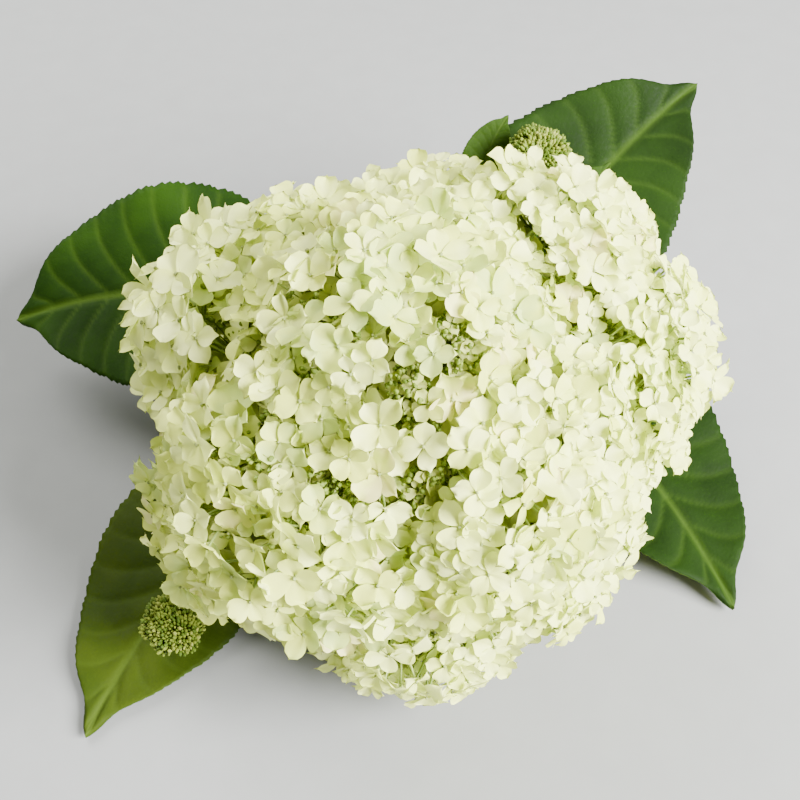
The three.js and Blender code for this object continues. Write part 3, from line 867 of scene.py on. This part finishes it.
def buildBlade(spine, up, petioleShare, width, fold):
    rows, columns = leafLook["rows"], leafLook["columns"]
    t = np.linspace(0, 1, rows + 1)
    centre, run, length = evenly(spine, petioleShare + (1 - petioleShare) * t)
    across = unit(np.cross(run, up))
    normal = np.cross(across, run)
    v = np.linspace(-1, 1, columns)
    drawnIn = 0.34 * np.exp(-(((t - leafLook["tipAt"]) / 0.06) ** 2))
    ovate = 2.362 * t**0.45 * (1 - t) ** 0.9 * (1 - drawnIn)
    saw = (t * leafLook["teeth"]) % 1.0
    half = width / 2 * ovate * (0.99 + 0.034 * (1 - saw) * (t > 0.06))
    half = half[:, None]
    scale = bladeScale(length, petioleShare)
    quilt, thick = leafLook["quilt"] * scale, bladeThickness(scale)
    # Side veins leave the midrib at even places and curve towards the tip.
    out = np.abs(v)
    forward = 0.34 * out * (1 - 0.55 * out) * (0.45 + 0.55 * ovate[:, None])
    place = (t[:, None] - forward) * leafLook["veins"] / 0.82
    off = np.abs(place - np.round(place))
    side = 0.44 * np.exp(-((off / 0.085) ** 2)) * (place > -0.3) * (1 - 0.5 * out)
    rib = np.exp(-((v[None] * half / (1.6 * scale)) ** 2))
    small = np.abs(np.sin(v[None] * half / scale / 2.6)) * np.abs(np.sin(place * math.pi)) * 0.12
    vein = np.clip(np.maximum(side * (out < 0.97), rib), 0, 1)
    rise = quilt * (np.sqrt(np.abs(np.sin(place * math.pi))) * (1 - rib) + small) * (1 - out**6)
    ripple = 1.6 * scale * np.sin(t * 17)[:, None] * v**2
    height = fold * half * out**1.2 + rise - quilt * 0.6 + ripple
    flat = centre[:, None] + (half * v)[..., None] * across[:, None]
    top = flat + height[..., None] * normal[:, None]
    keel = 1.3 * scale * rib * (1 - 0.7 * t[:, None]) + 0.35 * scale * side
    bottom = top - (thick + keel)[..., None] * normal[:, None]
    points = np.concatenate([top.reshape(-1, 3), bottom.reshape(-1, 3)])
    total = (rows + 1) * columns
    upside = gridFaces(rows + 1, columns)
    downside = upside[:, ::-1] + total
    edge = []
    for i in range(rows):
        for j, flip in ((0, False), (columns - 1, True)):
            a, b = i * columns + j, (i + 1) * columns + j
            quad = [a, b, b + total, a + total]
            edge.append(quad[::-1] if flip else quad)
    faces = upside.tolist() + downside.tolist() + edge
    slots = [0] * len(upside) + [1] * (len(downside) + len(edge))
    return points, faces, slots, np.concatenate([vein.reshape(-1), vein.reshape(-1) * 0.8])


def bladeScale(length, petioleShare):  # 1 for a full-grown blade, less for a small one
    return min(1, length * (1 - petioleShare) / 130)


def bladeThickness(scale):
    return leafLook["thickness"] * max(0.6, scale)


# A petiole dips under its blade, and thins out there along the midrib.
def buildPetiole(spine, up, petioleShare, radius):
    underBlade, sides = 0.12, 14
    steps = np.linspace(0, petioleShare + underBlade, 40)
    centre, run, length = evenly(spine, steps)
    thick = bladeThickness(bladeScale(length, petioleShare))
    fat = radius * (1 + 0.5 * np.exp(-((steps * length / 4) ** 2)) - 0.25 * steps / steps[-1])
    under = np.clip((steps - petioleShare * 0.86) / (petioleShare * 0.2), 0, 1)
    fat = fat * (1 - 0.7 * np.clip((steps - petioleShare) / underBlade, 0, 1))
    stalkUp = unit(np.cross(unit(np.cross(run, up)), run))
    centre = centre - stalkUp * ((fat + 0.25 * thick) * under)[:, None]
    angle = np.arange(sides) * 2 * math.pi / sides
    groove = 1 - 0.22 * np.exp(-((np.angle(np.exp(1j * (angle - math.pi / 2))) / 0.5) ** 2))
    points = sweep(centre, run, fat[:, None] * groove[None], np.cross(run, up), sides)
    faces = gridFaces(len(steps), sides, closed=True).tolist()
    faces.append([(len(steps) - 1) * sides + k for k in range(sides)])
    faces.append(list(range(sides))[::-1])
    return points.reshape(-1, 3), faces


leafTops = {kind: leafMaterial("leaf_" + kind, *colours) for kind, colours in blades.items()}
leafUnder = leafMaterial("leafUnder", leafLook["under"], leafLook["under"], leafLook["underVein"])
petioleMaterial = stalkMaterial("petiole", colour(0.17, 0.26, 0.04), colour(0.27, 0.34, 0.08), 0.0002)


def addLeaf(name, kind, spine, up, petioleShare, width, fold, petioleRadius):
    up = vec(*up)
    points, faces, slots, veins = buildBlade(spine, up, petioleShare, width, fold)
    stalkPoints, stalkFaces = buildPetiole(spine, up, petioleShare, petioleRadius)
    faces += [[k + len(points) for k in face] for face in stalkFaces]
    slots += [2] * len(stalkFaces)
    veins = np.concatenate([veins, np.zeros(len(stalkPoints))])
    points = np.concatenate([points, stalkPoints])
    points[:, 2] = np.maximum(points[:, 2], 0.05)
    materials = [leafTops[kind], leafUnder, petioleMaterial]
    piece = meshPiece("dressed_" + name, points, faces, materials, "leaf", [name], slots)
    values = piece.data.attributes.new("vein", "FLOAT", "POINT")
    values.data.foreach_set("value", veins.astype(np.float32))


leaves = [  # name, colour, which pair, clock, tip, via, width, fold, up
    ("lower_left", "fresh", "upper", 214, (-126, -114, 5), (-84, 16, -9), 84, 0.07, (0.04, 0.02, 1)),
    ("upper_right", "shaded", "upper", 42, (136, 140, 132), (56, 84, 104), 94, 0.16, (-0.3, -0.75, 0.7)),
    ("left", "dark", "lower", 166, (-188, 84, 34), (-84, 92, 78), 108, 0.14, (-0.1, -0.45, 1)),
    ("right", "shaded", "lower", 346, (146, -58, 6), (98, 62, 30), 94, 0.14, (0.15, -0.2, 1)),
]
for name, kind, pair, clock, tip, via, width, fold, up in leaves:
    radius, share = leafLook["petioleRadius"], leafLook["petioleShare"]
    start, off = stemSocket(stemLook[pair + "Node"], clock, 15, radius)
    spine = bezier(start, start + off * 26, vec(*via), vec(*tip))
    addLeaf("leaf_" + name, kind, spine, up, share, width, fold, radius)
print("leaves made")


# Side shoots, with their green heads and small leaves
shootLook = {
    "baseRadius": 1.9,
    "tipRadius": 1.5,
    "axil": 0.06,  # how far above the leaves' node, as a share of the stem
    "leafPlace": 0.8,
    "foot": 5,
    "steps": 70,
    "sides": 16,
}
smallLeafLook = {"petioleShare": 0.2, "fold": 0.12, "petioleRadius": 1.0}
headLook = {
    "radius": 16.5,
    "height": 0.6,
    "clumps": 14,
    "clumpOut": 0.58,  # share of the radius where a clump springs
    "clumpRadius": 5.8,
    "clumpHeight": 4.2,
    "clumpFall": 12,
    "buds": 54,
    "budRadius": 0.9,
    "budSizes": (0.6, 1.15),
    "shades": (0.4, 0.46, 0.14),
}
shoots = [  # name, clock, via points, head, facing, small leaves
    ("lower_left", 200, [(-42, 12, 36), (-76, -34, 16)], (-91, -75, 27), (-0.15, 0.25, 0.95), []),
    (
        "top",
        74,
        [(14, 56, 84), (44, 84, 104)],
        (61, 94, 129),
        (0.15, -0.1, 0.95),
        [("left", (49, 118, 131), 22, (0, -0.9, 0.4)), ("right", (94, 101, 119), 27, (0.1, -0.7, 0.7))],
    ),
]


def throughPoints(points):  # a smooth curve through points, by centripetal knots
    points = np.array(points, float)
    full = np.concatenate([[2 * points[0] - points[1]], points, [2 * points[-1] - points[-2]]])
    spans = np.maximum(np.linalg.norm(np.diff(full, axis=0), axis=1) ** 0.5, 1e-4)

    def curve(t):
        t = np.atleast_1d(t) * (len(points) - 1)
        k = np.minimum(t.astype(int), len(points) - 2)
        w = (t - k)[:, None]
        p0, p1, p2, p3 = full[k], full[k + 1], full[k + 2], full[k + 3]
        d0, d1, d2 = spans[k][:, None], spans[k + 1][:, None], spans[k + 2][:, None]
        m1 = ((p1 - p0) / d0 - (p2 - p0) / (d0 + d1) + (p2 - p1) / d1) * d1
        m2 = ((p2 - p1) / d1 - (p3 - p1) / (d1 + d2) + (p3 - p2) / d2) * d1
        square, cube = -3 * p1 + 3 * p2 - 2 * m1 - m2, 2 * p1 - 2 * p2 + m1 + m2
        return cube * w**3 + square * w**2 + m1 * w + p1

    return curve


def arc(start, bend, end):
    def curve(t):
        t = t[..., None]
        return (1 - t) ** 2 * start + 2 * t * (1 - t) * bend + t**2 * end

    return curve


def buildHead(head, facing):
    one, two = squareTo(facing)
    radius, height = headLook["radius"], headLook["height"]
    foot = head - facing * shootLook["foot"]
    parts, budCentres, budFacings, starts = [], [], [], []
    for c in range(headLook["clumps"]):
        lean = math.acos(1 - (c + 0.5) / headLook["clumps"])
        turn = c * goldenAngle + rng.uniform(-0.2, 0.2)
        way = math.sin(lean) * (math.cos(turn) * one + math.sin(turn) * two)
        rise = radius * height * (math.cos(lean) - 0.3) * 0.7 + rng.uniform(-1, 0.8)
        knot = head + way * radius * headLook["clumpOut"] + facing * rise
        outward = unit(way + facing * (math.cos(lean) + 0.35))
        parts.append(tubes(foot, (foot + knot) / 2 - facing, knot, 1.0, 0.7, 6, 4))
        a, b = squareTo(outward)
        for j in range(headLook["buds"]):
            far = headLook["clumpRadius"] * math.sqrt((j + 0.5) / headLook["buds"])
            spin = j * goldenAngle
            spot = knot + far * (math.cos(spin) * a + math.sin(spin) * b)
            rise = headLook["clumpHeight"] - far**2 / headLook["clumpFall"]
            spot = spot + outward * (rise + rng.uniform(-1.1, 0.9))
            budCentres.append(spot)
            budFacings.append(unit(outward + (spot - knot) * 0.09 + rng.normal(0, 0.3, 3)))
            starts.append(knot)
    budCentres, budFacings, starts = map(np.array, (budCentres, budFacings, starts))
    parts.append(tubes(starts, (starts + budCentres) / 2, budCentres, 0.3, 0.26, 3, 2))
    points, faces = joined(parts)
    slots = [0] * len(faces)
    sizes = headLook["budRadius"] * rng.uniform(*headLook["budSizes"], len(budCentres))
    budPoints, budFaces = balls(budCentres, budFacings, sizes, 1.9, 4, 5)
    shades = rng.choice([0, 1, 2], len(budCentres), p=headLook["shades"])
    slots += shades.repeat(len(budFaces) // len(budCentres)).tolist()
    return *joined([(points, faces), (budPoints, budFaces)]), slots


headMaterials = [
    budMaterial("headGreen", colour(0.06, 0.105, 0.005), colour(0.1, 0.15, 0.01)),
    budMaterial("headBud", colour(0.12, 0.165, 0.012), colour(0.175, 0.215, 0.022)),
    budMaterial("headCream", colour(0.21, 0.25, 0.035), colour(0.27, 0.3, 0.055)),
]
for name, clock, via, head, facing, smallLeaves in shoots:
    facing, head = unit(vec(*facing)), vec(*head)
    place = stemLook["upperNode"] - shootLook["axil"]
    start, off = stemSocket(place, clock, 40, shootLook["baseRadius"])
    end = head - facing * (shootLook["foot"] + 0.3)
    curve = throughPoints([start, start + off * 9, *via, end - facing * 9, end])
    steps = np.linspace(0, 1, shootLook["steps"])
    centre, run, length = evenly(curve, steps)
    fat = shootLook["baseRadius"] + (shootLook["tipRadius"] - shootLook["baseRadius"]) * steps
    footSwell = 0.35 * np.exp(-((steps * length / 4) ** 2))
    nodeSwell = 0.5 * np.exp(-(((steps - shootLook["leafPlace"]) * length / 3) ** 2))
    fat = fat * (1 + footSwell + nodeSwell)
    sides = shootLook["sides"]
    ribs = 1 + 0.04 * np.sin(5 * np.arange(sides) * 2 * math.pi / sides)
    skin = sweep(centre, run, fat[:, None] * ribs[None], vec(0.3, 0.2, 1), sides).reshape(-1, 3)
    faces = gridFaces(len(steps), sides, closed=True).tolist()
    meshPiece("shoot_skin_" + name, skin, faces, [barkMaterial], "stem", ["side_shoot_" + name])
    points, faces, slots = buildHead(head, facing)
    nodes = ["green_head_" + name]
    meshPiece("bud_head_" + name, points, faces, headMaterials, "bud", nodes, slots)
    for sideName, tip, width, up in smallLeaves:
        at, run, _ = evenly(curve, [shootLook["leafPlace"]])
        at, run, tip = at[0], run[0], vec(*tip)
        off = unit((tip - at) - ((tip - at) @ run) * run)
        foot = at + off * 1.4
        spine = arc(foot, foot + off * np.linalg.norm(tip - foot) * 0.5, tip)
        leafName = "shoot_leaf_" + name + "_" + sideName
        addLeaf(leafName, "young", spine, up, width=width, **smallLeafLook)
print("shoots made")


# Floor, light and camera
def buildStage():
    half, level = 4, -0.0005
    corners = [(-half, -half, level), (half, -half, level), (half, half, level), (-half, half, level)]
    floor = bpy.data.meshes.new("floor")
    floor.from_pydata(corners, [], [(0, 1, 2, 3)])
    piece = bpy.data.objects.new("floor", floor)
    bpy.context.collection.objects.link(piece)
    shader = Shader("paleFloor")
    speck = shader.noise(60, 3)
    shade = shader.mix(speck, colour(0.24, 0.245, 0.24), colour(0.27, 0.275, 0.27))
    floor.materials.append(shader.finish({"Base Color": shade, "Roughness": 0.8}))


lights = {  # place, width and power, in metres and watts
    "key": ((1.27, -0.66, 1.08), 1.1, 232),
    "fill": ((-0.7, 0.85, 1.3), 1.4, 50),
}
sky = {"colour": (0.98, 1.0, 0.82, 1), "strength": 0.4}


def addLight(name, place, size, power):
    data = bpy.data.lights.new(name, "AREA")
    data.shape, data.size, data.energy = "DISK", size, power
    lamp = bpy.data.objects.new(name, data)
    bpy.context.collection.objects.link(lamp)
    lamp.location = place
    toBloom = Vector((0, 0, 0.1)) - Vector(place)
    lamp.rotation_euler = toBloom.to_track_quat("-Z", "Y").to_euler()


def addCamera():
    view = {
        "lens": 50.4,
        "elevation": math.radians(52),
        "distance": 0.428,
        "aim": 29,  # how far before the hub, along the bloom's axis
        "pixels": 1120,  # the distance in pixels of the picture
        "left": 5,  # how many of them the bloom stands left of the picture's middle
        "below": 22,
    }
    target = (hub + bloomAxis * view["aim"] + middle) / 1000
    back = vec(0, -math.cos(view["elevation"]), math.sin(view["elevation"]))
    up = vec(0, math.sin(view["elevation"]), math.cos(view["elevation"]))
    pixel = view["distance"] / view["pixels"]
    place = target + back * view["distance"] + up * view["below"] * pixel
    place = place + vec(1, 0, 0) * view["left"] * pixel
    data = bpy.data.cameras.new("camera")
    data.lens, data.sensor_width = view["lens"], 36
    camera = bpy.data.objects.new("camera", data)
    bpy.context.collection.objects.link(camera)
    camera.location = place
    camera.rotation_euler = Vector(-back).to_track_quat("-Z", "Y").to_euler()
    bpy.context.scene.camera = camera


buildStage()
for name, (place, size, power) in lights.items():
    addLight(name, place, size, power)
world = bpy.data.worlds.new("softSky")
world.use_nodes = True
world.node_tree.nodes["Background"].inputs["Color"].default_value = sky["colour"]
world.node_tree.nodes["Background"].inputs["Strength"].default_value = sky["strength"]
bpy.context.scene.world = world
addCamera()
